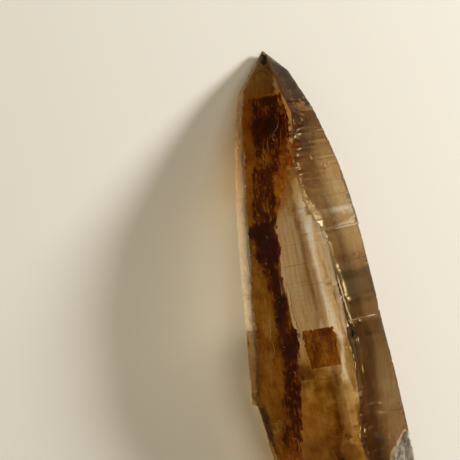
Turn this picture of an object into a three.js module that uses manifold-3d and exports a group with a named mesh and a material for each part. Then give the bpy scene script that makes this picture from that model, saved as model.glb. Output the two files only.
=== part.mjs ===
// A single quartz crystal with lemurian growth ledges, lying on a flat contact face.
// Units are millimetres. Z is up, the crystal's long axis lies along Y, and its point faces +Y.
import * as THREE from "three";
import { mergeVertices } from "three/addons/utils/BufferGeometryUtils.js";
import Module from "manifold-3d";

const wasm = await Module();
wasm.setup();

// ---------------------------------------------------------------- driving dimensions

// "Back" is a distance from the tip along the axis. "Reach" is how far a face lies out from the line
// under the crystal's middle on which it rests, measured square to the axis.
const LENGTH = 74;
const TIP = { aside: 0.55, height: 0.9 };

// Quartz grows its end faces at this angle to the long axis.
const END_FACE_SLOPE = Math.tan(THREE.MathUtils.degToRad(38.2));
// Three of the six end faces are smaller, because they grew faster: they stand this far out at the tip.
const SMALL_END_FACE = 0.08;

// The six long faces stand at 60 degree steps around the axis, as in every quartz crystal. The crystal
// lies rolled by this angle, on the flat that formed where it grew against a neighbour.
const ROLL = 20;

// Each outline gives [back, reach] where the face changes its taper, behind its end face.
const TOP = {
  turn: 90 + ROLL,
  small: false,
  seed: 11,
  outline: [[3.5, 3.41], [10, 7], [18, 10.7], [27, 12.4], [40, 12.9], [LENGTH, 11]],
};
// This face steps out once, a third of the way back, and in again past the middle.
const UPPER_RIGHT = {
  turn: 30 + ROLL,
  small: true,
  seed: 23,
  outline: [
    [3.5, 3.88],
    [10, 8.1],
    [24.2, 11.65],
    [27, 13.35],
    [39.9, 14.6],
    [40.6, 14.2],
    [46.5, 14.2],
    [50.8, 13.6],
    [58.4, 12.5],
    [LENGTH, 11.8],
  ],
};
const LOWER_RIGHT = {
  turn: -30 + ROLL,
  small: false,
  seed: 37,
  outline: [
    [3.6, 3.22],
    [10, 5],
    [18, 6.8],
    [24.2, 7.4],
    [27.5, 7.05],
    [34, 7.25],
    [42, 7.55],
    [50.8, 8.4],
    [58.4, 9.05],
    [LENGTH, 10],
  ],
};
const UNDERSIDE = {
  turn: -90 + ROLL,
  small: true,
  seed: 61,
  outline: [[1.5, 0.6], [34, 1], [LENGTH, 1.2]],
};
const LOWER_LEFT = {
  turn: 210 + ROLL,
  small: false,
  seed: 53,
  outline: [[5.2, 3.05], [14, 2.9], [34, 3.2], [40, 3.3], [49.5, 4.3], [50.1, 4], [LENGTH, 4]],
};
const UPPER_LEFT = {
  turn: 150 + ROLL,
  small: true,
  seed: 41,
  outline: [
    [5.6, 4.1],
    [10, 5.6],
    [22, 8.1],
    [34, 9.65],
    [46, 10.85],
    [49.5, 11.3],
    [50.1, 10.4],
    [60, 9.35],
    [LENGTH, 8.8],
  ],
};
const LONG_FACES = [TOP, UPPER_RIGHT, LOWER_RIGHT, UNDERSIDE, LOWER_LEFT, UPPER_LEFT];
const CONTACT_FACE_TURN = -90;

// Growth ledges that run across the long faces like the rungs of a ladder.
const LEDGE = { pitch: 1.8, spread: 0.6, rise: 0.13 };

// The long edges are worn to narrow, uneven flats. The wear is how deep the corner is taken off.
const EDGE_WEAR = { least: 0.02, most: 0.08, pitch: 1.9, seed: 71 };

// An old break that healed over: it slopes down to the left and to the back from the top face.
const HEALED_BREAK = { aside: -8.8, back: 46, height: 9.9, rise_across: 0.6, fall_back: 0.3 };

// The broken base: a shallow shell-like hollow with ripples around the point where the break began.
const BASE = { lean: 0.22, bowl: 0.012, ripple: 0.22, ripple_pitch: 3.4, start: { aside: 9, height: 14 } };

// A fresh chip off the right edge, near the base.
const CHIP = { aside: 12, back: 63, height: 11.6, radii: [5, 12, 5] };

// Sutures: furrows where two growth fronts met. Points are [aside, back] on the top face.
const SUTURE = { half_width: 0.22, depth: 0.2 };
const UPPER_SUTURE = [[1.6, 7.4], [1.9, 10.2], [1.5, 12.8]];
const LOWER_SUTURE = [[2.8, 31], [3.2, 34], [3.5, 38.5], [3.8, 41.6]];

// Three-cornered etch pits: [turn of the face, back, distance along the face from its middle].
const PIT = { radius: 0.55, depth: 0.35 };
const PITS = [
  [TOP.turn, 12.6, -2.1],
  [TOP.turn, 33.5, -3],
  [TOP.turn, 42, -1.7],
  [UPPER_RIGHT.turn, 18, 0.8],
  [UPPER_RIGHT.turn, 31, 1.5],
  [UPPER_RIGHT.turn, 52, 2.4],
  [CONTACT_FACE_TURN, 24, 1.5],
  [CONTACT_FACE_TURN, 47, -1],
];

const SIDE = 60; // larger than the crystal is wide: how far the cutting shapes run past it
const PAST_TIP = 3;
const SAME_CORNER = 0.004; // corners closer than this are one corner

// ---------------------------------------------------------------- small helpers

// A repeatable run of numbers between 0 and 1.
function dice(seed) {
  let state = seed * 7919 + 17;
  return () => {
    state = (state * 16807) % 2147483647;
    return state / 2147483647;
  };
}

function radians(degrees) {
  return THREE.MathUtils.degToRad(degrees);
}

// The reach of a face at a distance back from the tip.
function reachAt(outline, back) {
  const i = Math.max(1, outline.findIndex(([b]) => b >= back));
  const [backA, reachA] = outline[i - 1];
  const [backB, reachB] = outline[i];
  return reachA + ((reachB - reachA) * (back - backA)) / (backB - backA);
}

function solidOf(geometry) {
  const bare = geometry.clone();
  bare.deleteAttribute("normal");
  bare.deleteAttribute("uv");
  const merged = mergeVertices(bare, 1e-5);
  return new wasm.Manifold(
    new wasm.Mesh({
      numProp: 3,
      vertProperties: merged.attributes.position.array,
      triVerts: new Uint32Array(merged.index.array),
    }),
  );
}

// The surface of a solid, with corners that the cuts left almost together joined into one.
function geometryOf(solid) {
  const { vertProperties, triVerts } = solid.getMesh();
  const corners = [];
  const joined = [];
  for (let i = 0; i < vertProperties.length; i += 3) {
    const corner = new THREE.Vector3().fromArray(vertProperties, i);
    const near = corners.findIndex((other) => other.distanceTo(corner) < SAME_CORNER);
    joined.push(near < 0 ? corners.push(corner) - 1 : near);
  }
  const index = [];
  for (let i = 0; i < triVerts.length; i += 3) {
    const triangle = [...triVerts.subarray(i, i + 3)].map((corner) => joined[corner]);
    if (new Set(triangle).size === 3) index.push(...triangle);
  }
  const geometry = new THREE.BufferGeometry().setFromPoints(corners).setIndex(index).toNonIndexed();
  geometry.computeVertexNormals();
  return geometry;
}

// ---------------------------------------------------------------- the six-sided prism and its end faces

// Where the plane of an end face lies a little past the tip.
function endFace(turn, small) {
  const angle = radians(turn);
  const atTip = TIP.aside * Math.cos(angle) + TIP.height * Math.sin(angle) + (small ? SMALL_END_FACE : 0);
  return [-PAST_TIP, atTip - PAST_TIP * END_FACE_SLOPE];
}

// Breaks a run of a face into treads and small risers. Each riser is a strip of end face.
function ledges([backA, reachA], [backB, reachB], random) {
  const count = Math.max(1, Math.round((backB - backA) / LEDGE.pitch));
  const slope = (reachB - reachA) / (backB - backA);
  const points = [];
  for (let i = 1; i <= count; i++) {
    const wander = i < count ? (random() - 0.5) * LEDGE.spread * LEDGE.pitch : 0;
    const back = backA + ((backB - backA) * i) / count + wander;
    const rise = count > 1 ? LEDGE.rise * (0.4 + 1.2 * random()) : 0;
    const reach = reachA + slope * (back - backA);
    if (rise > 0) points.push([back - rise / END_FACE_SLOPE, reach - rise]);
    points.push([back, reach]);
  }
  return points;
}

// One face as a slab: everything that lies inside its outline.
function slab(turn, outline) {
  const shape = new THREE.Shape();
  const [lastBack] = outline[outline.length - 1];
  shape.moveTo(outline[0][0], -SIDE);
  for (const [back, reach] of outline) shape.lineTo(back, reach);
  shape.lineTo(lastBack, -SIDE);
  const geometry = new THREE.ExtrudeGeometry(shape, { depth: 2 * SIDE, bevelEnabled: false });
  geometry.translate(0, 0, -SIDE);
  // The shape's first axis runs back from the tip, which is -Y, and its second along the face's normal.
  const backwards = new THREE.Vector3(0, -1, 0);
  const normal = new THREE.Vector3(Math.cos(radians(turn)), 0, Math.sin(radians(turn)));
  const across = new THREE.Vector3().crossVectors(backwards, normal);
  geometry.applyMatrix4(new THREE.Matrix4().makeBasis(backwards, normal, across));
  return solidOf(geometry);
}

// The height of the top face over a place.
function topHeight(aside, back) {
  const angle = radians(TOP.turn);
  return (reachAt(TOP.outline, back) - aside * Math.cos(angle)) / Math.sin(angle);
}

// The flat that wear leaves along the edge between two neighbouring long faces.
function wornEdge(face, next, random) {
  const start = Math.max(face.outline[0][0], next.outline[0][0]);
  const points = [];
  for (let back = start; back < LENGTH; back += EDGE_WEAR.pitch * (0.5 + random())) {
    const corner = (reachAt(face.outline, back) + reachAt(next.outline, back)) / (2 * Math.cos(radians(30)));
    const wear = EDGE_WEAR.least + (EDGE_WEAR.most - EDGE_WEAR.least) * random() ** 2;
    points.push([back, corner - wear]);
  }
  const beforeStart = [-PAST_TIP, points[0][1]];
  const pastBase = [LENGTH, points[points.length - 1][1]];
  return slab((face.turn + next.turn) / 2, [beforeStart, ...points, pastBase]);
}

function prism() {
  let body = slab(CONTACT_FACE_TURN, [[-PAST_TIP, 0], [LENGTH, 0]]);
  for (const { turn, small, seed, outline } of LONG_FACES) {
    const random = dice(seed);
    const stepped = [endFace(turn, small), outline[0]];
    for (let i = 1; i < outline.length; i++) stepped.push(...ledges(outline[i - 1], outline[i], random));
    body = body.intersect(slab(turn, stepped));
  }
  const wearRandom = dice(EDGE_WEAR.seed);
  const edges = [
    [TOP, UPPER_RIGHT],
    [UPPER_RIGHT, LOWER_RIGHT],
    [LOWER_RIGHT, UNDERSIDE],
    [LOWER_LEFT, UPPER_LEFT],
    [UPPER_LEFT, TOP],
  ];
  for (const [face, next] of edges) body = body.intersect(wornEdge(face, next, wearRandom));
  return body;
}

// ---------------------------------------------------------------- breaks and chips

// Everything above the healed break's plane.
function aboveHealedBreak() {
  const { aside, back, height, rise_across, fall_back } = HEALED_BREAK;
  const geometry = new THREE.BoxGeometry(2 * SIDE, 2 * SIDE, SIDE);
  geometry.translate(0, 0, SIDE / 2);
  const normal = new THREE.Vector3(-rise_across, -fall_back, 1).normalize();
  geometry.applyQuaternion(new THREE.Quaternion().setFromUnitVectors(new THREE.Vector3(0, 0, 1), normal));
  geometry.translate(aside, -back, height);
  return solidOf(geometry);
}

// A block behind the crystal whose front is the rippled face of the break.
function behindBase() {
  const depth = 20;
  const geometry = new THREE.BoxGeometry(44, depth, 32, 40, 1, 28);
  const points = geometry.attributes.position;
  const { lean, bowl, ripple, ripple_pitch, start } = BASE;
  for (let i = 0; i < points.count; i++) {
    if (points.getY(i) < 0) continue;
    const aside = points.getX(i);
    const height = points.getZ(i) + 8;
    const far = Math.hypot(aside - start.aside, height - start.height);
    const wave = ripple * Math.sin((2 * Math.PI * far) / ripple_pitch);
    points.setY(i, depth / 2 + lean * height + bowl * far * far + wave);
  }
  geometry.translate(0, -LENGTH - depth / 2, 8);
  return solidOf(geometry);
}

function chip() {
  const geometry = new THREE.IcosahedronGeometry(1, 4);
  geometry.scale(...CHIP.radii);
  geometry.translate(CHIP.aside, -CHIP.back, CHIP.height);
  return solidOf(geometry);
}

// ---------------------------------------------------------------- sutures and etch pits

// A V-shaped furrow that follows the top face.
function furrow(path) {
  const above = 1.5;
  const rings = path.map(([aside, back]) => {
    const spread = SUTURE.half_width * (1 + above / SUTURE.depth);
    return [
      [aside - spread, -back, topHeight(aside - spread, back) + above],
      [aside, -back, topHeight(aside, back) - SUTURE.depth],
      [aside + spread, -back, topHeight(aside + spread, back) + above],
    ];
  });
  const index = [0, 2, 1];
  for (let ring = 1; ring < rings.length; ring++) {
    for (let corner = 0; corner < 3; corner++) {
      const a = 3 * (ring - 1) + corner;
      const b = 3 * (ring - 1) + ((corner + 1) % 3);
      index.push(a, b, a + 3, b, b + 3, a + 3);
    }
  }
  const end = 3 * (rings.length - 1);
  index.push(end, end + 1, end + 2);
  const geometry = new THREE.BufferGeometry();
  geometry.setAttribute("position", new THREE.Float32BufferAttribute(rings.flat(2), 3));
  geometry.setIndex(index);
  return solidOf(geometry);
}

// A three-sided pyramid with its point in the crystal.
function pit([turn, back, along]) {
  const face = LONG_FACES.find((each) => each.turn === turn);
  const reach = face ? reachAt(face.outline, back) : 0;
  const height = 2 * PIT.depth;
  const geometry = new THREE.ConeGeometry(2 * PIT.radius, height, 3);
  geometry.rotateX(Math.PI); // the point was up
  const normal = new THREE.Vector3(Math.cos(radians(turn)), 0, Math.sin(radians(turn)));
  const toTip = new THREE.Vector3(0, 1, 0);
  const across = new THREE.Vector3().crossVectors(normal, toTip);
  const place = normal.clone().multiplyScalar(reach).addScaledVector(across, along);
  place.y = -back;
  geometry.applyMatrix4(new THREE.Matrix4().makeBasis(across, normal, toTip).setPosition(place));
  return solidOf(geometry);
}

// ---------------------------------------------------------------- the crystal

function crystalSolid() {
  const cuts = [
    aboveHealedBreak(),
    behindBase(),
    chip(),
    furrow(UPPER_SUTURE),
    furrow(LOWER_SUTURE),
    ...PITS.map(pit),
  ];
  return cuts.reduce((body, cut) => body.subtract(cut), prism());
}

const quartz = new THREE.MeshStandardMaterial({ color: 0x8a6a42, roughness: 0.12, metalness: 0 });
const crystal = new THREE.Mesh(geometryOf(crystalSolid()), quartz);
crystal.name = "crystal";

// The origin is on the resting face, under the middle of the crystal's box.
crystal.geometry.computeBoundingBox();
const middle = crystal.geometry.boundingBox.getCenter(new THREE.Vector3());
crystal.position.set(-middle.x, -middle.y, -crystal.geometry.boundingBox.min.z);

const group = new THREE.Group();
group.add(crystal);

export default group;
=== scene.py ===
"""A lemurian quartz crystal, smoky golden and clear, lying on the flat where it grew against a neighbour.

Places on the crystal are given in millimetres as (aside, back, height): how far to the right of its middle
line, how far back from the tip, and how high above the flat that it rests on.
"""
import math
import random

import bmesh
import bpy
from mathutils import Matrix, Vector, noise
from mathutils.bvhtree import BVHTree


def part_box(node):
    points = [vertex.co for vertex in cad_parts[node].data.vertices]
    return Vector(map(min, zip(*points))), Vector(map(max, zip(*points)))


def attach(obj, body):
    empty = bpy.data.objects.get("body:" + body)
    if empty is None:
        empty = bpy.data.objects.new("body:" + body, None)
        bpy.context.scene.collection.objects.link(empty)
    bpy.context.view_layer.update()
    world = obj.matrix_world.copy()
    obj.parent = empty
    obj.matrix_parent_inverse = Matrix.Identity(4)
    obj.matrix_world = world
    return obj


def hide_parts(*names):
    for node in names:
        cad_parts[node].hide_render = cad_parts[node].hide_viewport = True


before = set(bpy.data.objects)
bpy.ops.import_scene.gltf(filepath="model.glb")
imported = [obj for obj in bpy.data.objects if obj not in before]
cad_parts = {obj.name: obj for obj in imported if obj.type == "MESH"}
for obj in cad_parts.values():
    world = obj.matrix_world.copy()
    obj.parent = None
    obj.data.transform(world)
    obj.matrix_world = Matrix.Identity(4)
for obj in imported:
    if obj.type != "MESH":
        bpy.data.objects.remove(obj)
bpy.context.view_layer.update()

MM = 0.001
LENGTH = 72.0  # tip to the deepest part of the break, rounded
TIP_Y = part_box("crystal")[1].y / MM
MIDDLE_X = -0.20  # where the crystal's own middle line lies in the frame


def at(aside, back, height):
    """A place on the crystal, in metres in the shared frame."""
    return Vector((aside + MIDDLE_X, TIP_Y - back, height)) * MM


def place_of(point):
    """The (aside, back, height) of a point in the shared frame, in millimetres."""
    return point.x / MM - MIDDLE_X, TIP_Y - point.y / MM, point.z / MM


def linear(hex_colour):
    """An sRGB hex colour as linear red, green, blue and alpha."""
    channels = [int(hex_colour[i:i + 2], 16) / 255 for i in (1, 3, 5)]
    return [c / 12.92 if c <= 0.04045 else ((c + 0.055) / 1.055) ** 2.4 for c in channels] + [1.0]


def between(table, back, column):
    """A column of a table whose rows start with a distance back, read between its rows."""
    if back <= table[0][0]:
        return table[0][column]
    for above, below in zip(table, table[1:]):
        if back <= below[0]:
            share = (back - above[0]) / (below[0] - above[0])
            return above[column] + share * (below[column] - above[column])
    return table[-1][column]


# ---------------------------------------------------------------- materials

def add(tree, kind, settings=None, links=None):
    """Adds a node with its settings and the sockets that feed it, and returns it."""
    node = tree.nodes.new(kind)
    for name, value in (settings or {}).items():
        if name == "curve":
            points = node.mapping.curves[0].points
            for place, height in value[1:-1]:
                points.new(place, height)
            points[0].location, points[-1].location = value[0], value[-1]
            node.mapping.update()
        elif name == "stops":
            ramp = node.color_ramp.elements
            while len(ramp) < len(value):
                ramp.new(0.5)
            for stop, (place, colour) in zip(ramp, value):
                stop.position, stop.color = place, linear(colour)
        elif isinstance(name, int) or name in node.inputs:
            node.inputs[name].default_value = value
        else:
            setattr(node, name, value)
    for name, source in (links or {}).items():
        tree.links.new(source, node.inputs[name])
    return node


def new_material(name):
    """An empty material, and its node tree."""
    material = bpy.data.materials.new(name)
    material.use_nodes = True
    material.node_tree.nodes.clear()
    return material, material.node_tree


def crystal_places(tree):
    """The (aside, back, height) of the shaded point in millimetres, as a vector."""
    coordinates = add(tree, "ShaderNodeTexCoord")
    return add(
        tree,
        "ShaderNodeVectorMath",
        {"operation": "MULTIPLY_ADD", 1: (1 / MM, -1 / MM, 1 / MM), 2: (-MIDDLE_X, TIP_Y, 0)},
        {0: coordinates.outputs["Object"]},
    ).outputs[0]


# The way that each long face looks in the frame, and the edges on either side of the top.
TOP = (-0.342, 0, 0.940)
UPPER_RIGHT = (0.643, 0, 0.766)
UPPER_LEFT = (-0.985, 0, 0.174)
LOWER_RIGHT = (0.985, 0, -0.174)
UNDERSIDE = (0.342, 0, -0.940)
LOWER_LEFT = (-0.643, 0, -0.766)
RIGHT_EDGE = (0.174, 0, 0.985)
LEFT_EDGE = (-0.766, 0, 0.643)
# How squarely a spot looks along such a way, as a cosine, where it starts to count as part of it and where it
# fully does.
RIGHT_FACE_SPAN = (0.8, 0.93)
LEFT_FACE_SPAN = (0.6, 0.8)
EDGE_SPAN = (0.9, 0.95)


def facing(tree, direction, span):
    """0 where the crystal looks away from a direction, and 1 where it looks along it."""
    coordinates = add(tree, "ShaderNodeTexCoord")
    along = add(
        tree, "ShaderNodeVectorMath", {"operation": "DOT_PRODUCT", 1: direction},
        {0: coordinates.outputs["Normal"]},
    )
    limits = {"From Min": span[0], "From Max": span[1]}
    return add(tree, "ShaderNodeMapRange", limits, {"Value": along.outputs["Value"]}).outputs[0]


ALL_BACK = 74.0  # the length that tints and stains are laid out over
ALL_ASIDE = 24.0  # and the width, from 12 to the left to 12 to the right

# The tint of the crystal from the tip to the break, seen through its top and through its upper right face.
TOP_TINTS = [
    (0, "#a88c58"), (1.6, "#ccb98c"), (4.5, "#ccb484"), (8, "#c8a060"), (11, "#c89858"), (14, "#d8b880"),
    (17, "#ecd4a8"), (20, "#f8ecd4"), (25, "#ffffff"), (40, "#ffffff"), (44, "#fffaf0"), (50, "#f8ecd0"),
    (55.5, "#ecd4a8"), (60, "#d4b074"), (74, "#d4b074"),
]
RIGHT_TINTS = [
    (0, "#6a4820"), (6.0, "#3c1a06"), (8.5, "#3c240e"), (11, "#44280e"), (14, "#644422"), (17, "#98784a"),
    (21, "#ac8c5c"), (24, "#b09264"), (30, "#a07c50"), (31.6, "#70502c"), (33.4, "#301a06"),
    (36.5, "#2c1604"), (38.2, "#5c3e20"), (39.8, "#5c3e20"), (40.3, "#381c06"), (42.4, "#3c220a"),
    (43.5, "#4a361c"), (50, "#6c5638"), (60, "#806646"), (66, "#c8a880"), (74, "#e0d0b0"),
]
# The brown that deepens on the upper left face, which multiplies the tint seen through it.
LEFT_TINTS = [
    (0, "#ffffff"), (37, "#fff8ec"), (40, "#fcecd0"), (48, "#f8e8c8"), (50, "#fce8b8"), (74, "#f8e0a8"),
]

# Stains with edges of their own: the tint by how thick their clouds are, how soft the edge is in mm, and rows
# of [back, left, right]. A stain takes the colour under it down, and wanders a little, unless its blend is
# "MIX": then it stands in for that colour, and keeps to its rows.
STAIN_CLOUD = {"Scale": 0.42, "Detail": 8, "Roughness": 0.6}  # clouds of about 2.4 mm

# Smoky gold in the top, from the healed patch to the break.
LOWER_SMOKE = {
    "tint": [(0.34, "#94783c"), (0.46, "#bca468"), (0.56, "#dcd0a4"), (0.7, "#f8f0d8")],
    "soft": 2.4,
    "rows": [
        [43, -3, -2.8], [45.6, -3.6, 0.4], [47.5, -4, 3.0], [52, -5, 3.9], [62, -5.5, 3.9], [72, -6, 3.9],
    ],
}
# A brown haze beside the rust in the tip's third.
UPPER_SMOKE = {
    "tint": [(0.36, "#d4b078"), (0.5, "#ecd8ac"), (0.64, "#fcf4e4")],
    "soft": 0.8,
    "rows": [
        [11, 1.0, 1.6], [13, 0.6, 2.4], [16, -0.4, 2.4], [19, -1.8, 2.4], [22, -2.6, 1.4],
        [24.5, -2.2, -0.8],
    ],
}
# The clear strip along the edge between the top and the upper right face.
CLEAR_EDGE = {
    "tint": [(0.4, "#ecdcb8"), (0.6, "#ffffff")],
    "blend": "MIX",
    "soft": 0.3,
    "rows": [
        [21, 1.6, 1.9], [23, 2.0, 2.9], [25, 2.4, 3.7], [28, 2.7, 3.8], [31, 3.0, 3.8], [33, 3.5, 3.9],
        [36, 3.9, 4.0],
    ],
}
# A tan haze over that strip and beside it.
EDGE_HAZE = {
    "tint": [(0.4, "#c4a47c"), (0.6, "#d0b48c")],
    "soft": 0.7,
    "rows": [
        [22, 2.2, 2.4], [24, 2.1, 2.6], [26.5, 2.0, 3.0], [30, 2.1, 3.4], [34, 2.2, 3.7], [38, 2.6, 3.9],
        [41, 3.2, 3.8],
    ],
}
# A brown patch further back on the same edge, and mild smoke from there towards the break.
EDGE_SMOKE = {
    "tint": [(0.36, "#7c5820"), (0.6, "#a8844c")],
    "soft": 0.5,
    "rows": [[41.3, 4.2, 4.3], [42.5, 3.4, 5.0], [45, 3.0, 4.8], [48, 3.2, 4.2], [49.5, 3.6, 3.7]],
}
LOWER_EDGE = {
    "tint": [(0.36, "#c8ac78"), (0.6, "#dcc49c")],
    "soft": 1.8,
    "rows": [
        [47.5, 3.2, 3.4], [49.5, 2.7, 4.4], [52, 2.5, 4.3], [57, 2.3, 4.1], [62, 2.3, 4.0],
        [66, 2.8, 3.0],
    ],
}
# The fresh chip by the base is clear: nothing has stained it yet.
FRESH_CHIP = {
    "tint": [(0, "#ffffff"), (1, "#ffffff")],
    "blend": "MIX",
    "soft": 0.3,
    "rows": [[56.8, 9.5, 9.9], [58.2, 8.2, 11], [59.6, 6.9, 11.5], [64, 6.3, 11.5], [70, 7.6, 11.5]],
}
STAINS = [LOWER_SMOKE, UPPER_SMOKE, CLEAR_EDGE, EDGE_HAZE, EDGE_SMOKE, LOWER_EDGE, FRESH_CHIP]

TINT_OVER = {"data_type": "RGBA", "blend_type": "MULTIPLY"}  # a mix that takes a colour down by a tint


def lay_stain(tree, colour, places, aside, back, stain):
    """Lays the cloudy tint of a stain over the colour inside the stain's edges."""
    cloud = add(tree, "ShaderNodeTexNoise", STAIN_CLOUD, {"Vector": places})
    tint = add(tree, "ShaderNodeValToRGB", {"stops": stain["tint"]}, {"Fac": cloud.outputs["Fac"]})
    within = []
    for column, sign in ((1, 1), (2, -1)):
        curve = [(row[0] / ALL_BACK, row[column] / ALL_ASIDE + 0.5) for row in stain["rows"]]
        edge = add(tree, "ShaderNodeFloatCurve", {"curve": curve}, {"Value": back})
        past = add(tree, "ShaderNodeMath", {"operation": "SUBTRACT"}, {0: aside, 1: edge.outputs[0]})
        soft = stain["soft"] / ALL_ASIDE * sign
        within.append(add(
            tree, "ShaderNodeMapRange",
            {"interpolation_type": "SMOOTHSTEP", "From Min": -soft / 2, "From Max": soft / 2},
            {"Value": past.outputs[0]},
        ).outputs[0])
    inside = add(tree, "ShaderNodeMath", {"operation": "MULTIPLY"}, {0: within[0], 1: within[1]})
    return add(
        tree, "ShaderNodeMix",
        {"data_type": "RGBA", "blend_type": stain.get("blend", "MULTIPLY")},
        {0: inside.outputs[0], 6: colour, 7: tint.outputs[0]},
    ).outputs[2]


WANDER = (3.0, 5.0, 0.0)  # how far tints stray from their tables, aside and back, in mm
SLIGHT_WANDER = 0.2  # the share of that by which the sharper ones stray
# Clouds in the crystal, patches of 3 mm and of 0.7 mm, and streaks 0.4 mm wide and 5 mm long: scale per mm,
# stretch, the share from which they are clear, and the tint where they are dark.
CLOUDS = [
    (0.32, (1, 0.6, 1), 0.58, "#fff6e4"),
    (1.5, (1, 0.6, 1), 0.58, "#fff8ec"),
    (2.4, (1, 0.08, 1), 0.60, "#e4d0a4"),
]
CLOUD_DARKEST = 0.36  # the share up to which a cloud is at its darkest
# The tint of the painted shade in the steps of the growth ladder.
RUNG_SHADE = "#d0b890"  # the tint of the deepest rungs

# How rough each part of the surface is.
POLISHED = 0.03  # most of the crystal, as it grew
SATIN = 0.22  # the upper right face, etched very finely
FROSTED = 0.3  # the upper left face, which fine growth lines cover
ROUGH = 0.95  # the same face further back, where they are coarse
WORN = 0.5  # the rubbed edge between the top and the upper right face
STEP_BACK = (38, 41)  # between which it turns rough, by the step in the left edge, in mm


# Smoky quartz with iron stain in it, its faces left as they grew. It gives the eye a clear stone that bends
# what lies behind it, gold to warm brown, with sharp highlights on most faces, a frosted one, a satin one and
# one rubbed edge.
def smoky_quartz():
    material, tree = new_material("smoky_golden_quartz")
    places = crystal_places(tree)
    # The wander has waves of about 2 mm.
    waves = {"Scale": 0.45, "Detail": 5, "Roughness": 0.62}
    wander = add(tree, "ShaderNodeTexNoise", waves, {"Vector": places})
    drift = add(
        tree, "ShaderNodeVectorMath",
        {"operation": "MULTIPLY_ADD", 1: WANDER, 2: [-far / 2 for far in WANDER]},
        {0: wander.outputs["Color"]},
    )
    wandered = add(
        tree, "ShaderNodeVectorMath", {"operation": "ADD"}, {0: places, 1: drift.outputs[0]}
    ).outputs[0]
    slightly = add(
        tree, "ShaderNodeMix", {"data_type": "VECTOR", 0: SLIGHT_WANDER}, {4: places, 5: wandered}
    ).outputs[1]
    shares = {}
    for name, vector in (("steady", places), ("slightly", slightly), ("wandered", wandered)):
        scaled = add(
            tree, "ShaderNodeVectorMath",
            {"operation": "MULTIPLY_ADD", 1: (1 / ALL_ASIDE, 1 / ALL_BACK, 1), 2: (0.5, 0, 0)},
            {0: vector},
        )
        parted = add(tree, "ShaderNodeSeparateXYZ", links={0: scaled.outputs[0]})
        shares[name] = (parted.outputs[0], parted.outputs[1])

    tints = []
    for table, name in ((TOP_TINTS, "wandered"), (RIGHT_TINTS, "slightly"), (LEFT_TINTS, "slightly")):
        stops = [(place / ALL_BACK, tint) for place, tint in table]
        tints.append(add(tree, "ShaderNodeValToRGB", {"stops": stops}, {"Fac": shares[name][1]}).outputs[0])
    top_tint, right_tint, left_tint = tints
    on_right = facing(tree, UPPER_RIGHT, RIGHT_FACE_SPAN)
    on_left = facing(tree, UPPER_LEFT, LEFT_FACE_SPAN)
    on_edge = facing(tree, RIGHT_EDGE, EDGE_SPAN)
    colour = add(
        tree, "ShaderNodeMix", {"data_type": "RGBA"}, {0: on_right, 6: top_tint, 7: right_tint}
    ).outputs[2]
    colour = add(tree, "ShaderNodeMix", TINT_OVER, {0: on_left, 6: colour, 7: left_tint}).outputs[2]
    for scale, stretch, clear_from, dark_tint in CLOUDS:
        stretched = add(tree, "ShaderNodeVectorMath", {"operation": "MULTIPLY", 1: stretch}, {0: places})
        cloud = add(
            tree, "ShaderNodeTexNoise", {"Scale": scale, "Detail": 6, "Roughness": 0.6},
            {"Vector": stretched.outputs[0]},
        )
        tone = add(
            tree, "ShaderNodeValToRGB", {"stops": [(CLOUD_DARKEST, dark_tint), (clear_from, "#ffffff")]},
            {"Fac": cloud.outputs["Fac"]},
        )
        colour = add(
            tree, "ShaderNodeMix", {**TINT_OVER, 0: 1.0}, {6: colour, 7: tone.outputs[0]}
        ).outputs[2]
    for stain in STAINS:
        aside, back = shares["steady" if "blend" in stain else "slightly"]
        colour = lay_stain(tree, colour, places, aside, back, stain)
    # Painted shade along the risers of the growth ladder: the deeper a rung, the darker its riser is tinted.
    rung = add(tree, "ShaderNodeAttribute", {"attribute_name": "rung"})
    colour = add(
        tree, "ShaderNodeMix", {**TINT_OVER, 7: linear(RUNG_SHADE)}, {0: rung.outputs["Fac"], 6: colour}
    ).outputs[2]

    left_finish = add(tree, "ShaderNodeMapRange", {
        "From Min": STEP_BACK[0] / ALL_BACK, "From Max": STEP_BACK[1] / ALL_BACK,
        "To Min": FROSTED - POLISHED, "To Max": ROUGH - POLISHED,
    }, {"Value": shares["steady"][1]})
    roughness = add(
        tree, "ShaderNodeMath", {"operation": "MULTIPLY_ADD", 2: POLISHED},
        {0: on_left, 1: left_finish.outputs[0]},
    )
    for share, finish in ((on_right, SATIN), (on_edge, WORN)):
        roughness = add(
            tree, "ShaderNodeMath", {"operation": "MULTIPLY_ADD", 1: finish - POLISHED},
            {0: share, 2: roughness.outputs[0]},
        )
    # 1.544 is the refractive index of quartz. The iron stain on its skin gilds and dims the highlights.
    surface = add(
        tree, "ShaderNodeBsdfPrincipled",
        {"IOR": 1.544, "Specular Tint": linear("#957927"), "Transmission Weight": 1.0},
        {"Base Color": colour, "Roughness": roughness.outputs[0]},
    )
    # Its own smoke is faint: across 15 mm, light loses an eighth of its blue.
    smoke = add(tree, "ShaderNodeVolumeAbsorption", {"Color": linear("#efd459"), "Density": 10.0})
    add(tree, "ShaderNodeOutputMaterial", links={
        "Surface": surface.outputs[0], "Volume": smoke.outputs[0],
    })
    return material


# Patches in the crust, of 1.4 mm and of 0.3 mm: scale per mm, stretch, and strength.
CRUST_PATCHES = [(0.7, (1.2, 0.5, 1), 0.3), (3.2, (1.6, 0.45, 1), 0.4)]
CRUST_UNEVEN = 0.3  # how uneven the thinnest crust is
CRUST_ROUGHER = 1.4  # and how much more so it gets with thickness
CRUST_COLOURS = [
    (0.0, "#ecc070"), (0.14, "#e0a840"), (0.26, "#c88418"), (0.38, "#904a0c"), (0.5, "#662408"),
    (0.64, "#500e05"), (0.84, "#420903"),
]
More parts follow.
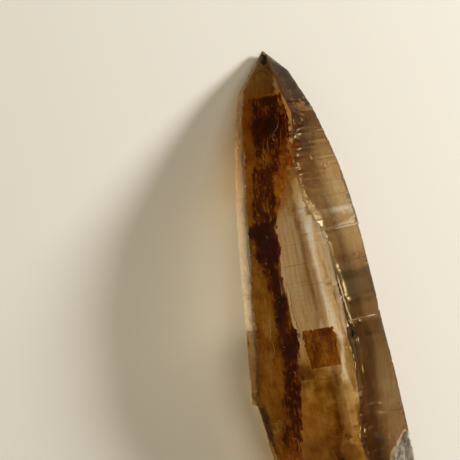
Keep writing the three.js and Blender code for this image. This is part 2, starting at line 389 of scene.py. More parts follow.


# Iron oxide that settled as a powdery crust on an old growth face and was then grown over: matt, golden where
# it is thin, through orange and dark red to almost black where it is thick.
# Thin and golden along the left side, it is also a painted reflection of light inside the crystal.
def iron_oxide():
    material, tree = new_material("iron_oxide")
    places = crystal_places(tree)
    thickness = add(tree, "ShaderNodeAttribute", {"attribute_name": "crust"}).outputs["Fac"]
    unevenness = add(
        tree, "ShaderNodeMath", {"operation": "MULTIPLY_ADD", 1: CRUST_ROUGHER, 2: CRUST_UNEVEN},
        {0: thickness},
    )
    for scale, stretch, strength in CRUST_PATCHES:
        stretched = add(tree, "ShaderNodeVectorMath", {"operation": "MULTIPLY", 1: stretch}, {0: places})
        patches = add(
            tree, "ShaderNodeTexNoise", {"Scale": scale, "Detail": 5, "Roughness": 0.65},
            {"Vector": stretched.outputs[0]},
        )
        level = add(
            tree, "ShaderNodeMath", {"operation": "MULTIPLY_ADD", 1: 2 * strength, 2: -strength},
            {0: patches.outputs["Fac"]},
        )
        thickness = add(
            tree, "ShaderNodeMath", {"operation": "MULTIPLY_ADD"},
            {0: level.outputs[0], 1: unevenness.outputs[0], 2: thickness},
        ).outputs[0]
    colour = add(tree, "ShaderNodeValToRGB", {"stops": CRUST_COLOURS}, {"Fac": thickness})
    surface = add(tree, "ShaderNodeBsdfPrincipled", {"Roughness": 0.8}, {"Base Color": colour.outputs[0]})
    add(tree, "ShaderNodeOutputMaterial", links={"Surface": surface.outputs[0]})
    return material


DRIFT_FROM = 0.34  # where a film's colours start to drift, as a share of its noise
DRIFT_SPAN = 0.32  # and how much of the noise they are spread over


def mineral_film(name, colours, roughness, scale=1.2):
    """A film or speck of mineral in the crystal, whose colour drifts between the given ones.

    The scale of that drift is per mm, so that at 1.2 a patch of one colour is about 0.8 mm long.
    """
    material, tree = new_material(name)
    drift = add(tree, "ShaderNodeTexNoise", {"Scale": scale, "Detail": 4}, {"Vector": crystal_places(tree)})
    stops = [(DRIFT_FROM + DRIFT_SPAN * k / (len(colours) - 1), each) for k, each in enumerate(colours)]
    colour = add(tree, "ShaderNodeValToRGB", {"stops": stops}, {"Fac": drift.outputs["Fac"]})
    surface = add(
        tree, "ShaderNodeBsdfPrincipled", {"Roughness": roughness}, {"Base Color": colour.outputs[0]}
    )
    add(tree, "ShaderNodeOutputMaterial", links={"Surface": surface.outputs[0]})
    return material


quartz = smoky_quartz()
rust = iron_oxide()
# Iron oxide packed into an open crack: dull, and so thick that it looks black with a warm cast.
dark = mineral_film("dark_crack_fill", ["#140602", "#2a1006"], 0.7)
# Iron stain soaked in below the end faces: a dull brown shade under clear quartz.
tip_smoke = mineral_film("smoky_tip_film", ["#301804", "#40220c", "#543014"], 0.8, 0.9)
# A healed fracture full of minute bubbles: it scatters the light, and looks like milk. The painted highlight
# by the tip is made of it too.
milky = mineral_film("milky_film_and_highlight", ["#e4d4b0", "#f4ead4", "#fffaf0"], 0.6)
# A healed fracture with a little iron in it: a pale tan veil.
tan = mineral_film("tan_fracture_film", ["#b49868", "#c8b080", "#d8c49c"], 0.6)
# Coarse growth lines with iron between them: a mottled brown veil.
brown = mineral_film("brown_fracture_film", ["#786028", "#987c40", "#b8985c"], 0.7, 2.5)
# Grains of iron oxide caught in the quartz: small, matt and rust brown.
freckle = mineral_film("rust_freckles", ["#3a180a", "#5a3010", "#744418"], 0.8)
# Bright straw gold: iron oxide in specks, and glints and highlights painted where cracks,
# the ridge and the rust band throw the light back.
gold = mineral_film("gold_speck_and_glint_film", ["#e8cc70", "#fff0b0"], 0.4)
# Quartz bruised by a knock, a web of tiny cracks: grey and dull, with no colour of its own.
white = mineral_film("white_fracture", ["#4c4232", "#766c5a", "#a49880"], 0.5, 1.6)


# ---------------------------------------------------------------- the crystal's fine surface

SAME_POINT = 2e-6  # corners closer than this are one, in metres
CUT_SNAP = 1e-6  # and a cut this close to a corner goes through it
FLAT_ENOUGH = math.radians(0.6)  # faces that meet flatter than this become one
SOFT_ANGLE = math.radians(24)  # flatter joints than this shade as one surface
GRID = 0.9  # cuts this far apart let a rung fade out across a face, in mm
GRID_ASIDE = 13  # how many of them lie to either side of the middle
GRID_HIGH = 15  # and how many lie above one another
GRID_START = (0.5, 0.4)  # where they start aside and in height, in steps of the grid

# The growth ladder: where its rungs start and how far past the break they go, how far apart they are, how
# long the slope of each is, and how deep most of them and the strong ones are, all in mm. Then the share that
# is strong, and the least share of its depth that a rung may have.
LADDER = {
    "first": 1.5, "closest": 0.4, "widest": 1.3, "past_break": 3, "riser": 0.12, "depth": 0.012,
    "deepest": 0.04, "strong": 0.16, "shallowest": 0.6, "seed": 5,
}
ON_RUNG = 0.01  # a corner this close behind a rung's start is on it, in mm
SEATED = 0.02  # corners lower than this stay on the flat, in mm
REACH_DRIFT = 0.22  # per mm, how quickly a rung fades in and out across a face
RUNG_APART = 3.7  # how far apart two rungs' noises are, so that each is its own
REACH_SWING = 1.6  # how strongly rungs fade
REACH_MEAN = 0.55  # and how much of them is left on the whole
WAVES = (0.5, 0.3, 0.5)  # per mm, the long waves that every face has
WAVE_DEPTH = 0.02  # and how deep they are at most, in mm
RIGHT_SMOOTHER = 0.9  # by which share rungs are shallower on the upper right face


def ladder_rungs():
    """Rungs as (back, depth): the surface drops by the depth towards the tip at each."""
    chance = random.Random(LADDER["seed"])
    rungs = []
    back = LADDER["first"]
    while back < LENGTH + LADDER["past_break"]:
        full = LADDER["deepest"] if chance.random() < LADDER["strong"] else LADDER["depth"]
        rungs.append((back, chance.uniform(LADDER["shallowest"], 1.0) * full))
        back += chance.uniform(LADDER["closest"], LADDER["widest"])
    return rungs


def rung_reach(across, rung, height):
    """How much of a rung there is at a spot, from 0 to 1."""
    spot = Vector((across * REACH_DRIFT, (rung - 1) * RUNG_APART, height * REACH_DRIFT))
    return min(1, max(0, noise.noise(spot) * REACH_SWING + REACH_MEAN))


def rung_drop(vertex, rungs):
    """How far growth lowers a corner of the crystal in mm, or None where it has to stay."""
    aside, back, height = place_of(vertex.co)
    rung = sum(1 for start, _ in rungs if start <= back + ON_RUNG) - 1
    if rung < 0 or rung + 1 >= len(rungs) or height < SEATED:
        return None
    past = back - rungs[rung][0]
    share = (past - LADDER["riser"]) / (rungs[rung + 1][0] - rungs[rung][0] - LADDER["riser"])
    if share < 0:
        share = 1 - past / LADDER["riser"]
    else:
        rung += 1
    spot = Vector((aside * WAVES[0], back * WAVES[1], height * WAVES[2]))
    waves = 0.5 + 0.5 * noise.noise(spot)
    least, most = RIGHT_FACE_SPAN
    on_right = min(1, max(0, (vertex.normal.dot(Vector(UPPER_RIGHT)) - least) / (most - least)))
    shallow = 1 - RIGHT_SMOOTHER * on_right
    return rungs[rung][1] * share * shallow * rung_reach(aside, rung, height) + WAVE_DEPTH * waves


def cut(form, place, direction):
    """Cuts all faces of a form along a plane."""
    everything = form.verts[:] + form.edges[:] + form.faces[:]
    bmesh.ops.bisect_plane(form, geom=everything, dist=CUT_SNAP, plane_co=place, plane_no=direction)


# How much of the ledges is worn away on each long face, and on the edges beside the top.
LEDGE_WEAR = [
    (TOP, 0.8), (UPPER_RIGHT, 1.0), (UPPER_LEFT, 0.7),
    (LOWER_RIGHT, 0.9), (UNDERSIDE, 0.9), (LOWER_LEFT, 0.9),
    (RIGHT_EDGE, 0.8), (LEFT_EDGE, 0.7),
]
LEDGE_STEP = 0.4  # how far apart the ledges are looked at, in mm
LEDGE_HALF = 0.07  # half the height of a ledge, in mm
LEDGES_NEAR = 6  # over how many steps to either side a face is evened out
SAME_FACE = 0.93  # how squarely a facet looks along the way of its long face
FACES_DOWN = -0.99  # a facet that looks down more squarely is the flat it rests on
END_FACES = 8  # nothing this near the tip is worn, since the end faces have no ledges, in mm
NEAR_FLAT = 0.05  # corners lower than this are the flat's own, in mm
DIPS_FILLED = 0.05  # how deep a dip between ledges may be to be evened out, in mm
RISES_WORN = 0.4  # and how high a rise, in mm


def soften_ledges(form):
    """Wears the growth ledges of the long faces down, so that they stand out as faint steps."""
    for way, share in LEDGE_WEAR:
        direction = Vector(way)
        tops = {}
        for face in form.faces:
            if face.normal.dot(direction) > SAME_FACE and face.normal.z > FACES_DOWN:
                for vertex in face.verts:
                    spot = round((TIP_Y - vertex.co.y / MM) / LEDGE_STEP)
                    tops[spot] = max(tops.get(spot, -math.inf), vertex.co.dot(direction) / MM)
        spots = sorted(tops)
        for low, high in zip(spots, spots[1:]):
            for k in range(low + 1, high):
                tops[k] = tops[low] + (tops[high] - tops[low]) * (k - low) / (high - low)
        for vertex in form.verts:
            _, back, height = place_of(vertex.co)
            spot = round(back / LEDGE_STEP)
            around = range(spot - LEDGES_NEAR, spot + LEDGES_NEAR + 1)
            near = [tops[k] for k in around if k in tops]
            if back < END_FACES or len(near) < len(around) or height < NEAR_FLAT:
                continue
            extra = vertex.co.dot(direction) / MM - (sum(near) / len(near) - LEDGE_HALF)
            if -DIPS_FILLED < extra < RISES_WORN:
                vertex.co -= direction * extra * share * MM


def fine_crystal(node, material):
    """The node's shape with the fine rungs of growth lowered into it."""
    mesh = node.data.copy()
    form = bmesh.new()
    form.from_mesh(mesh)
    bmesh.ops.remove_doubles(form, verts=form.verts, dist=SAME_POINT)
    bmesh.ops.dissolve_limit(form, angle_limit=FLAT_ENOUGH, verts=form.verts, edges=form.edges)
    rungs = ladder_rungs()
    for back, _ in rungs:
        cut(form, at(0, back, 0), (0, 1, 0))
        cut(form, at(0, back + LADDER["riser"], 0), (0, 1, 0))
    for i in range(-GRID_ASIDE, GRID_ASIDE):
        cut(form, at(GRID * (i + GRID_START[0]), 0, 0), (1, 0, 0))
    for i in range(1, GRID_HIGH + 1):
        cut(form, at(0, 0, GRID * (i + GRID_START[1])), (0, 0, 1))
    soften_ledges(form)
    form.normal_update()
    drops = [(vertex, rung_drop(vertex, rungs)) for vertex in form.verts]
    moves = [(vertex, vertex.normal * -drop * MM) for vertex, drop in drops if drop is not None]
    for vertex, move in moves:
        vertex.co += move
    bmesh.ops.triangulate(form, faces=form.faces)
    # How deep each riser is, which sets how much painted shade its colour gets.
    layer = form.faces.layers.float.new("rung")
    for face in form.faces:
        middle = face.calc_center_median() / MM
        back = TIP_Y - middle.y
        for rung, (start, depth) in enumerate(rungs):
            if start < back < start + LADDER["riser"]:
                face[layer] = rung_reach(middle.x, rung, middle.z) * depth / LADDER["deepest"]
                break
    form.to_mesh(mesh)
    form.free()
    mesh.shade_smooth()
    mesh.set_sharp_from_angle(angle=SOFT_ANGLE)
    mesh.materials.clear()
    mesh.materials.append(material)
    body = bpy.data.objects.new("crystal_body", mesh)
    bpy.context.scene.collection.objects.link(body)
    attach(body, "root")
    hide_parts("crystal")


fine_crystal(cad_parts["crystal"], quartz)


# ---------------------------------------------------------------- what grew inside

def skin_of(node):
    """The node's own surface, to be met by straight lines."""
    mesh = node.data
    corners = [vertex.co.copy() for vertex in mesh.vertices]
    return BVHTree.FromPolygons(corners, [list(facet.vertices) for facet in mesh.polygons])


SKIN = skin_of(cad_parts["crystal"])
ABOVE_ALL = 40  # three places that lie well outside the crystal, in mm
BELOW_ALL = -10
LEFT_OF_ALL = -30
MARGIN = 0.04  # how far inside the crystal everything stays at least, in mm


def skin(aside, back, from_above=True):
    """The height of the crystal's upper or lower side over a place, and how it faces there."""
    start = at(aside, back, ABOVE_ALL if from_above else BELOW_ALL)
    place, normal, _, _ = SKIN.ray_cast(start, Vector((0, 0, -1 if from_above else 1)))
    if place is None:
        return None, None
    if (normal.z > 0) != from_above:
        normal = -normal
    return place.z / MM, normal


def is_inside(point):
    """Whether a point in the frame lies inside the crystal, by at least the margin above and below."""
    aside, back, height = place_of(point)
    top, _ = skin(aside, back)
    under, _ = skin(aside, back, from_above=False)
    return top is not None and under is not None and under + MARGIN < height < top - MARGIN


def cloudy(across, along, scale, seed, octaves=3):
    """Cloudy noise about 0, whose scale is given per mm across and along."""
    return noise.fractal(Vector((across * scale[0], along * scale[1], seed)), 1.0, 2.0, octaves)


def inside_piece(name, form, material):
    """Makes an object of a form that was grown inside the crystal."""
    mesh = bpy.data.meshes.new(name)
    form.to_mesh(mesh)
    form.free()
    mesh.materials.append(material)
    piece = bpy.data.objects.new(name, mesh)
    bpy.context.scene.collection.objects.link(piece)
    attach(piece, "root")


ROLLING = (0.45, 0.3)  # per mm aside and back, how a film's depth rolls
BAYS = (0.6, 0.3)  # and how the large bays of its outline run
BAY_REACH = 1  # how far a bay may go past the film's rows, in mm
ENDS_SQUARER = 2  # how much less than the sides its two ends are eaten away
END_REACH = 0.1  # and how far they stand out at least, in mm
SHAKE = 0.06  # how far its corners are shaken out of their grid, in mm
SHAKE_SCALE = 6  # per mm
SHAKE_SEED = 3  # these two are added to a film's seed for its other noises
GRAIN_SEED = 4
LEAST_SINK = 0.12  # how far below the face it stays at least, in mm
MOST_SINK = 0.45  # and at most, as a share of the crystal's thickness
ON_SIDE = 0.85  # how squarely the skin over it looks along the side it is kept to
# A broken film is solid where its level and its noises add up to more than the gaps take away.
SOLID_LEVEL = 1.2
SOLID_GRAIN = 0.8
SOLID_BAYS = 0.6
GAPS = 0.35
THIN = 0.3  # its crust starts out this thin
THICKER_INWARDS = 0.5  # and gains this much per mm from its edge
THICKER_SOLID = 0.8  # and this much with how solid it is
CRUST_SWING = 0.12  # how much the bays change the crust of any film


def film(name, material, rows, depth, seed, step=0.14, raggedness=(0.5, 0.35), broken=False, swell=0.3,
         grain=(3.4, 1.1), side=None):
    """A ragged film just below the upper faces, inside the edges in rows of [back, left, right, level].

    The level is how thick the film is, and goes to the material as "crust". A broken film thins out and has
    gaps.
    """
    form = bmesh.new()
    crust = form.faces.layers.float.new("crust")
    start, end = rows[0][0], rows[-1][0]
    corners = {}

    def corner(i, j):
        """The film's corner at a place of its grid, or None where the crystal leaves no room for it."""
        if (i, j) not in corners:
            aside, back = i * step, j * step
            top, normal = skin(aside, back)
            under, _ = skin(aside, back, from_above=False)
            met = top is not None and under is not None
            place = None
            if met and (side is None or normal.dot(Vector(side)) > ON_SIDE):
                sink = max(LEAST_SINK, depth + cloudy(aside, back, ROLLING, seed) * swell)
                spot = Vector((aside * SHAKE_SCALE, back * SHAKE_SCALE, seed + SHAKE_SEED))
                shaken = aside + noise.noise(spot) * SHAKE
                place = at(shaken, back, top - min(sink, MOST_SINK * (top - under)))
                if not is_inside(place):
                    place = None
            corners[i, j] = place and form.verts.new(place)
        return corners[i, j]

    for j in range(int(start / step), int(end / step) + 1):
        back = j * step
        left, right, level = (between(rows, back, column) for column in (1, 2, 3))
        for i in range(int((left - BAY_REACH) / step), int((right + BAY_REACH) / step)):
            aside = i * step
            bays = cloudy(aside, back, BAYS, seed)
            grains = cloudy(aside, back, grain, seed + GRAIN_SEED)
            edge = min(
                aside - left, right - aside,
                (back - start) * ENDS_SQUARER + END_REACH, (end - back) * ENDS_SQUARER + END_REACH,
            )
            edge += raggedness[0] * bays + raggedness[1] * grains
            solid = SOLID_LEVEL * level - GAPS + SOLID_GRAIN * grains + SOLID_BAYS * bays if broken else 1
            if edge > 0 and solid > 0:
                around = [corner(i, j), corner(i + 1, j), corner(i + 1, j + 1), corner(i, j + 1)]
                if all(around):
                    thick = level
                    if broken:
                        thick = min(level, THIN + THICKER_INWARDS * edge, THIN + THICKER_SOLID * solid)
                    form.faces.new(around)[crust] = thick + CRUST_SWING * bays
    inside_piece(name, form, material)


FLAKE_SIDES = (4, 5, 5, 6)
FLAKE_REACH = (0.6, 1.1)  # how far its corners lie out, as shares of its radius
FLAKE_STRETCH = 1.5  # how much longer than wide it is
FLAKE_LEAN = 0.16  # how far it usually leans
LARGE_SHARE = 0.06  # the share of flakes that are large
LARGE = 1.8  # and how much larger they are
CROWDING = 0.8  # how strongly flakes crowd together
CROWD_OCTAVES = 4


def platelet(form, place, looks, radius, chance):
    """Adds a small flat many-sided flake to a form, unless a part of it would be outside the crystal."""
    turn = looks.normalized().to_track_quat("Z", "Y")
    sides = chance.choice(FLAKE_SIDES)
    start = chance.uniform(0, math.tau)
    corners = []
    for k in range(sides):
        angle = start + math.tau * k / sides
        reach = radius * chance.uniform(*FLAKE_REACH) * MM
        offset = Vector((math.cos(angle) * reach, math.sin(angle) * reach * FLAKE_STRETCH, 0))
        corners.append(place + turn @ offset)
    if all(is_inside(corner) for corner in corners):
        form.faces.new([form.verts.new(corner) for corner in corners])


def flake_lean(chance):
    """How far a flake leans away from where it looks, and which way."""
    return Vector([chance.gauss(0, FLAKE_LEAN) for _ in range(3)])


def flakes(name, material, rows, cover, seed, spacing, size, depth=(0.12, 0.4), clump=(0.5, 0.3)):
    """Small flakes below the upper faces, between the edges in rows of [back, left, right].

    The cover is the share of places that hold one. Where it is below 0, only the most crowded places do.
    """
    chance = random.Random(seed)
    form = bmesh.new()
    for j in range(int(rows[0][0] / spacing), int(rows[-1][0] / spacing)):
        left, right = (between(rows, j * spacing, column) for column in (1, 2))
        for i in range(int(left / spacing), int(right / spacing)):
            aside = (i + chance.random()) * spacing
            back = (j + chance.random()) * spacing
            crowd = cloudy(aside, back, clump, seed, CROWD_OCTAVES)
            if chance.random() > cover + crowd * CROWDING:
                continue
            height, normal = skin(aside, back)
            if height is None:
                continue
            looks = normal + flake_lean(chance)
            place = at(aside, back, height) - normal * chance.uniform(*depth) * MM
            radius = chance.uniform(*size) * (LARGE if chance.random() < LARGE_SHARE else 1)
            platelet(form, place, looks, radius, chance)
    inside_piece(name, form, material)


LIT = Vector((0.5, 0.1, 0.86))  # faces this way to catch the light that comes in through the top
FROST_SPACING = 0.14  # how far apart the platelets of the frost are, in mm
FROST_HEIGHTS = (1, 12.5)  # between which heights they lie
FROST_COVER = 0.9  # the share of places that hold one
FROST_CLUMP = (1.2, 0.25)  # per mm up and back, how they crowd
FROST_DEPTH = (0.1, 0.3)  # how far behind the face they lie, in mm
FROST_SIZE = (0.07, 0.15)  # and their radius, in mm


def left_frost(name, material, start, end, seed, steep=0.85):
    """Bright platelets just behind the steep upper left face, leaning so that they catch the light."""
    chance = random.Random(seed)
    form = bmesh.new()
    low, high = FROST_HEIGHTS
    for j in range(int(start / FROST_SPACING), int(end / FROST_SPACING)):
        for i in range(int(low / FROST_SPACING), int(high / FROST_SPACING)):
            back, height = (j + chance.random()) * FROST_SPACING, (i + chance.random()) * FROST_SPACING
            crowd = cloudy(height, back, FROST_CLUMP, seed, CROWD_OCTAVES)
            if chance.random() > FROST_COVER + crowd * CROWDING:
                continue
            place, normal, _, _ = SKIN.ray_cast(at(LEFT_OF_ALL, back, height), Vector((1, 0, 0)))
            if place is None or abs(normal.x) < steep:
                continue
            place = place + Vector((chance.uniform(*FROST_DEPTH), 0, 0)) * MM
            platelet(form, place, LIT + flake_lean(chance), chance.uniform(*FROST_SIZE), chance)
    inside_piece(name, form, material)


LINE_STEP = 0.3  # how far apart the joints of a hairline are, in mm
LINE_TIP = 0.25  # how wide its two tips are, as a share of its width
LINE_TAPER = 3  # over how many joints it widens by its whole width
LINE_WIDTHS = (0.5, 1.3)  # how its width varies, as shares
LINE_SHAKE = 0.04  # and how far it wanders aside, in mm


def hairlines(name, material, lines, seed):
    """Thin fractures seen edge-on: each line is its width, its depth and its [aside, back] points."""
    chance = random.Random(seed)
    form = bmesh.new()
    for width, depth, points in lines:
        spots = []
        for (a0, b0), (a1, b1) in zip(points, points[1:]):
            count = max(1, round(math.hypot(a1 - a0, b1 - b0) / LINE_STEP))
            spots += [(a0 + (a1 - a0) * k / count, b0 + (b1 - b0) * k / count) for k in range(count)]
        spots.append(tuple(points[-1]))
        last = len(spots) - 1
        pairs = []
        for k, (aside, back) in enumerate(spots):
            before, after = spots[max(0, k - 1)], spots[min(last, k + 1)]
            along = Vector((after[0] - before[0], after[1] - before[1], 0)).normalized()
            square = Vector((along.y, -along.x, 0))
            taper = min(1, LINE_TIP + k / LINE_TAPER, LINE_TIP + (last - k) / LINE_TAPER)
            half = width / 2 * taper * chance.uniform(*LINE_WIDTHS)
            aside += chance.gauss(0, LINE_SHAKE)
            height, _ = skin(aside, back)
            if height is None:
                continue
            pair = []
            for side in (-1, 1):
                offset = square * half * side
                pair.append(form.verts.new(at(aside + offset.x, back + offset.y, height - depth)))
            pairs.append(pair)
        for (a, b), (c, d) in zip(pairs, pairs[1:]):
            form.faces.new([a, b, d, c])
    inside_piece(name, form, material)


# The golden film along the left side is iron stain on an old growth face, and also a painted reflection of
# the golden light that the inside of that side throws back. Then come the thick rust on it, and the brown
# beside it.
GOLDEN_STAIN_AND_REFLECTION = [
    [6.8, -4.0, 1.4, 0.16], [9, -4.4, 1.7, 0.16], [11, -4.8, 1.6, 0.18], [14, -5.2, 1.0, 0.18],
    [16.5, -5.6, 0.6, 0.16], [20.7, -6.2, -0.6, 0.16], [24.3, -6.55, -2.4, 0.17], [28, -7.0, -2.9, 0.2],
    [32, -7.65, -3.1, 0.2], [35, -8.05, -3.0, 0.2], [37.5, -8.3, -3.0, 0.18], [41, -8.4, -2.9, 0.22],
    [46, -9.2, -3.4, 0.2], [50, -9.8, -3.6, 0.17], [54, -9.3, -4.4, 0.15], [58, -8.2, -5.0, 0.2],
    [61, -7, -5.6, 0.2],
]
RUST_BAND = [
    [6.9, -2.4, 1.6, 0.72], [9.5, -2.9, 2.0, 0.72], [11.5, -3.2, 1.7, 0.66], [13.6, -3.4, 1.0, 0.55],
    [16.3, -3.8, 0.1, 0.46], [18.4, -4.3, -1.4, 0.44], [20.4, -4.8, -2.0, 0.46], [24.3, -5.7, -2.4, 0.46],
    [25.2, -6.3, -2.5, 1.1], [28.6, -6.4, -2.7, 1.2], [30.0, -5.6, -2.9, 1.15], [33.4, -5.3, -3.0, 1.0],
    [35.6, -5.1, -2.9, 1.05], [38.4, -5.2, -2.9, 1.3], [42, -5.1, -2.8, 1.25], [44, -5.2, -3.0, 1.0],
    [47, -5.6, -3.4, 0.85], [50, -6.2, -4.0, 0.65], [54, -6.8, -4.6, 0.42], [58, -7.2, -5.2, 0.25],
]
BROWN_FILM = [
    [6.7, 1.2, 1.8, 0.5], [10, 1.3, 1.9, 0.5], [13, 0.9, 1.7, 0.4], [16, 0.2, 1.2, 0.3],
    [18, -0.4, 0.6, 0.25],
]
film("golden_stain_and_reflection", rust, GOLDEN_STAIN_AND_REFLECTION, 1.5, 31, raggedness=(0.25, 0.15))
film("rust_band", rust, RUST_BAND, 1.0, 37, step=0.1, broken=True)
film("brown_film", rust, BROWN_FILM, 0.9, 47, broken=True)

# The stains below the end faces, and the rusty square where a fracture in the top has healed.
TIP_STAIN = [
    [2.2, 1.2, 2.4, 0.8], [4.5, 2.1, 3.8, 0.8], [6.5, 2.8, 5.0, 0.7], [8, 3.3, 5.4, 0.4],
    [9.5, 3.3, 5.4, 0.1],
]
HEALED_PATCH = [[40.2, -1.9, 2.5, 0.34], [43, -1.75, 2.55, 0.3], [45.4, -1.5, 2.6, 0.26]]
DARK_APEX = [[0.5, -0.15, 0.5, 0.5], [1.0, -0.35, 0.9, 0.5], [1.7, -0.1, 0.8, 0.5], [2.2, 0.2, 0.6, 0.5]]
film("tip_stain", tip_smoke, TIP_STAIN, 0.4, 61, broken=True, swell=0.15, grain=(2.2, 1.4))
film("healed_patch", rust, HEALED_PATCH, 1.2, 41, raggedness=(0.1, 0.16))
film("dark_apex", dark, DARK_APEX, 0.2, 43, raggedness=(0.1, 0.1), swell=0.05)

# The frost behind the upper left face, brown past the step, where the face is also less steep.
left_frost("left_face_frost", milky, 5, 39.5, 3)
left_frost("left_face_stain", brown, 39, 64, 4, steep=0.5)

# The pale seam beside the top's right edge, a highlight painted by the tip where a crack catches the light,
# and the bruise in the base's chip.
PALE_SEAM = [
    [21.5, 2.0, 2.3, 0], [23, 2.0, 2.8, 0], [25, 2.2, 3.5, 0], [28, 2.5, 3.6, 0], [31, 2.8, 3.6, 0],
    [33, 3.3, 3.7, 0], [40, 3.9, 4.3, 0], [41.5, 4.1, 4.6, 0],
]
TIP_HIGHLIGHT = [[6.2, 0.8, 0.9, 0], [6.5, 0.8, 1.7, 0], [6.9, 1.0, 1.4, 0]]
BASE_CHIP = [
    [56.9, 9.5, 9.9, 0], [58.2, 8.3, 10.0, 0], [59.6, 7.0, 10.2, 0], [64, 6.4, 10.6, 0],
    [68, 7.6, 10.6, 0],
]
film("pale_seam", tan, PALE_SEAM, 0.25, 5, step=0.1, raggedness=(0.3, 0.3), swell=0.1, side=UPPER_RIGHT)
film("tip_highlight", milky, TIP_HIGHLIGHT, 0.2, 7, step=0.08, raggedness=(0.1, 0.15), swell=0.05)
film("base_chip", white, BASE_CHIP, 0.2, 9, raggedness=(0.3, 0.3), swell=0.1)

# Specks: gold by the left edge, rust by the tip, and painted glints of gold in the rust band.
PALE_MOTTLE = [[50, -9.8, -8.2], [51, -9.6, -7.4], [53, -9.2, -7.2], [54.5, -9.0, -8.0]]
RUST_FRECKLES = [[6.0, 2.6, 4.6], [9.5, 3.2, 5.8], [11, 3.0, 6.0], [13, 2.8, 5.6], [15.5, 3.0, 5.2]]
GLINTS = [row[:3] for row in RUST_BAND]
flakes("pale_mottle", gold, PALE_MOTTLE, 0.3, 7, 0.14, (0.05, 0.16), depth=(0.1, 0.4))
flakes("rust_freckles", freckle, RUST_FRECKLES, 0.03, 13, 0.16, (0.05, 0.14), clump=(0.9, 0.9))
flakes("glints", gold, GLINTS, -0.12, 53, 0.3, (0.03, 0.08), clump=(0.9, 0.5))

# Cracks, each as its width, its depth below the face, and its [aside, back] points. The pale ones are painted
# bright where the cracks throw light back, and five short ones on the ridge are painted glints.
PALE_CRACKS_AND_GLINTS = [
    (0.09, 0.3, [[-1.9, 3.4], [-1.2, 2.7], [-0.3, 2.5], [0.5, 3.1], [1.3, 4.4]]),
    (0.07, 0.4, [[-0.6, 3.2], [0.3, 4.0], [0.9, 5.0]]),
    (0.10, 0.35, [[-4.1, 7.7], [-4.5, 9.3], [-4.75, 11.0]]),
    (0.08, 0.3, [[0.8, 10.3], [0.3, 11.6], [-0.6, 12.6], [-1.4, 13.1], [-1.7, 15.3]]),
    (0.05, 0.4, [[0.7, 12.1], [0.4, 13.5], [0.1, 14.9]]),
    (0.05, 0.5, [[-1.9, 13.0], [-2.3, 15.2], [-2.8, 17.2]]),
    (0.06, 0.6, [[-5.7, 37.0], [-6.1, 39.0], [-6.3, 40.8]]),
    (0.08, 0.6, [[-6.2, 40.8], [-6.0, 41.8], [-6.3, 42.9], [-6.7, 43.1]]),
    (0.06, 0.6, [[-3.4, 32.6], [-3.6, 33.9], [-3.6, 35.0]]),
    (0.09, 0.25, [
        [-2.75, 32.5], [-2.75, 34.2], [-2.8, 35.8], [-2.85, 37.1], [-2.6, 39.0], [-2.35, 40.8],
        [-2.5, 41.9],
    ]),
    (0.06, 0.6, [[-5.5, 30.5], [-5.8, 31.6]]),
    (0.09, 0.3, [[7.3, 20.3], [7.6, 21.0], [7.8, 21.3]]),
    # Five painted glints along the ridge.
    (0.13, 0.06, [[4.0, 43.2], [4.2, 44.0]]),
    (0.13, 0.06, [[4.25, 44.3], [4.3, 45.0]]),
    (0.13, 0.06, [[4.3, 45.3], [4.3, 46.6]]),
    (0.13, 0.06, [[3.4, 54.2], [3.25, 55.0]]),
    (0.13, 0.06, [[3.2, 55.3], [3.0, 56.4]]),
    (0.09, 0.5, [[-5.3, 54.7], [-5.2, 56.8]]),
    (0.14, 0.2, [[5.0, 42.3], [5.6, 43.6], [5.3, 45.8], [5.1, 47.6]]),
]
DARK_FRACTURES = [
    (0.12, 0.2, [[1.7, 7.2], [1.75, 8.7], [2.0, 10.3], [2.2, 11.9]]),
    (0.08, 0.4, [[-5.4, 14.1], [-4.8, 14.3], [-4.2, 14.3]]),
    (0.05, 0.3, [[-1.7, 3.9], [-0.9, 3.1], [-0.1, 3.0], [0.7, 3.8]]),
    (0.05, 0.3, [[0.2, 2.2], [1.1, 3.3], [1.9, 4.6], [2.4, 5.6]]),
    (0.09, 0.3, [[8.0, 31.3], [7.7, 32.2]]),
    (0.30, 0.8, [[-2.6, 41.3], [-2.6, 42.1]]),
    (0.07, 0.3, [
        [-2.5, 33.8], [-2.55, 35.8], [-2.65, 37.1], [-2.4, 39.0], [-2.1, 40.8], [-1.6, 42.0],
        [-1.5, 44.1], [-1.5, 45.8],
    ]),
    (0.12, 0.1, [[4.0, 33.4], [4.2, 35.6], [4.35, 37.8], [4.45, 39.6], [4.5, 41.0]]),
    (0.5, 0.25, [[4.45, 39.8], [4.75, 41.2], [4.6, 42.4]]),
    (0.05, 0.2, [[-4.95, 12.5], [-5.7, 18], [-6.3, 23], [-6.9, 29], [-7.7, 34], [-8.2, 39]]),
]
EDGE_CRACK = [(0.2, 0.15, [[4.2, 33.2], [4.4, 35.4], [4.6, 37.6], [4.9, 39.5], [5.3, 41.9], [5.5, 43.4]])]
hairlines("pale_cracks_and_glints", gold, PALE_CRACKS_AND_GLINTS, 19)
hairlines("dark_fractures", dark, DARK_FRACTURES, 23)
hairlines("edge_crack", tan, EDGE_CRACK, 29)

# ---------------------------------------------------------------- floor, camera and light

FLOOR_GAP = 0.02  # keeps the floor and the resting flat apart, in mm
FLOOR_SIZE = 2.0  # in metres
bpy.ops.mesh.primitive_plane_add(size=FLOOR_SIZE, location=(0, 0, -FLOOR_GAP * MM))
floor = bpy.context.active_object
floor.name = "floor"
# Unbleached paper board: matt and off-white, so that it takes a soft shadow and shows through clear quartz.
board, tree = new_material("pale_floor")
surface = add(tree, "ShaderNodeBsdfPrincipled", {"Base Color": linear("#f1eee4"), "Roughness": 0.9})
add(tree, "ShaderNodeOutputMaterial", links={"Surface": surface.outputs[0]})
floor.data.materials.append(board)

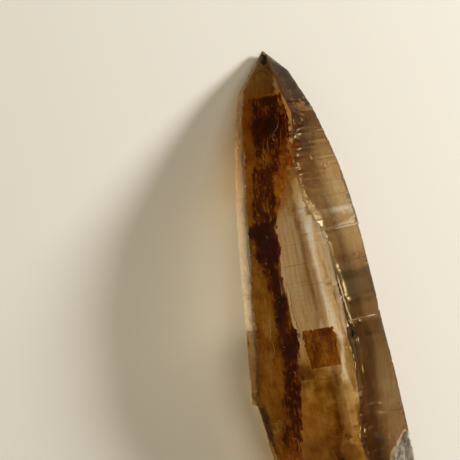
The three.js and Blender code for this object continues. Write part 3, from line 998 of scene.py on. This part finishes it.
VIEW_TURN = math.radians(-11.0)  # the long axis leans 11 degrees left of upright in the view
VIEW_MIDDLE = (-9.0, 24.5)  # the place (aside, back) at the middle of the view
CAMERA_HEIGHT = 260  # in mm
SEEN_WIDTH = 66.7  # width of floor that the view takes in, in mm
SENSOR = 36.0
camera_data = bpy.data.cameras.new("camera")
camera_data.sensor_width = SENSOR
camera_data.lens = SENSOR * CAMERA_HEIGHT / SEEN_WIDTH
camera_data.clip_start = 0.01
camera = bpy.data.objects.new("camera", camera_data)
turn = Matrix.Rotation(VIEW_TURN, 4, "Z")
camera.matrix_world = Matrix.Translation(at(*VIEW_MIDDLE, CAMERA_HEIGHT)) @ turn
bpy.context.scene.collection.objects.link(camera)
bpy.context.scene.camera = camera

# A small soft lamp low on the right of the view throws the shadow, and a broad weak one above it fills it in.
LIGHT_TURN = VIEW_TURN + math.radians(25)
LIGHTS = [  # name, degrees above the floor, distance and size in metres, watts, and colour
    ("key", 22, 0.5, 0.12, 3.4, "#ffffff"),
    ("fill", 66, 0.6, 0.3, 0.75, "#fff6e8"),
]
for name, elevation, distance, size, watts, colour in LIGHTS:
    data = bpy.data.lights.new(name, "AREA")
    data.shape = "DISK"
    data.size = size
    data.energy = watts
    data.color = linear(colour)[:3]
    along, up = math.cos(math.radians(elevation)), math.sin(math.radians(elevation))
    towards = Vector((along * math.cos(LIGHT_TURN), along * math.sin(LIGHT_TURN), up))
    lamp = bpy.data.objects.new(name, data)
    lamp.location = towards * distance
    lamp.rotation_euler = towards.to_track_quat("Z", "Y").to_euler()
    bpy.context.scene.collection.objects.link(lamp)

# The room gives a dim warm light from all around.
ROOM_STRENGTH = 0.35
world = bpy.data.worlds.new("room")
world.use_nodes = True
background = world.node_tree.nodes["Background"]
background.inputs["Color"].default_value = linear("#d4c4a8")
background.inputs["Strength"].default_value = ROOM_STRENGTH

MANY_BOUNCES = 24  # light meets many faces and films on its way through the crystal
GLOSSY_BOUNCES = 12
scene = bpy.context.scene
scene.world = world
scene.view_settings.view_transform = "Standard"
scene.cycles.max_bounces = MANY_BOUNCES
scene.cycles.transmission_bounces = MANY_BOUNCES
scene.cycles.glossy_bounces = GLOSSY_BOUNCES
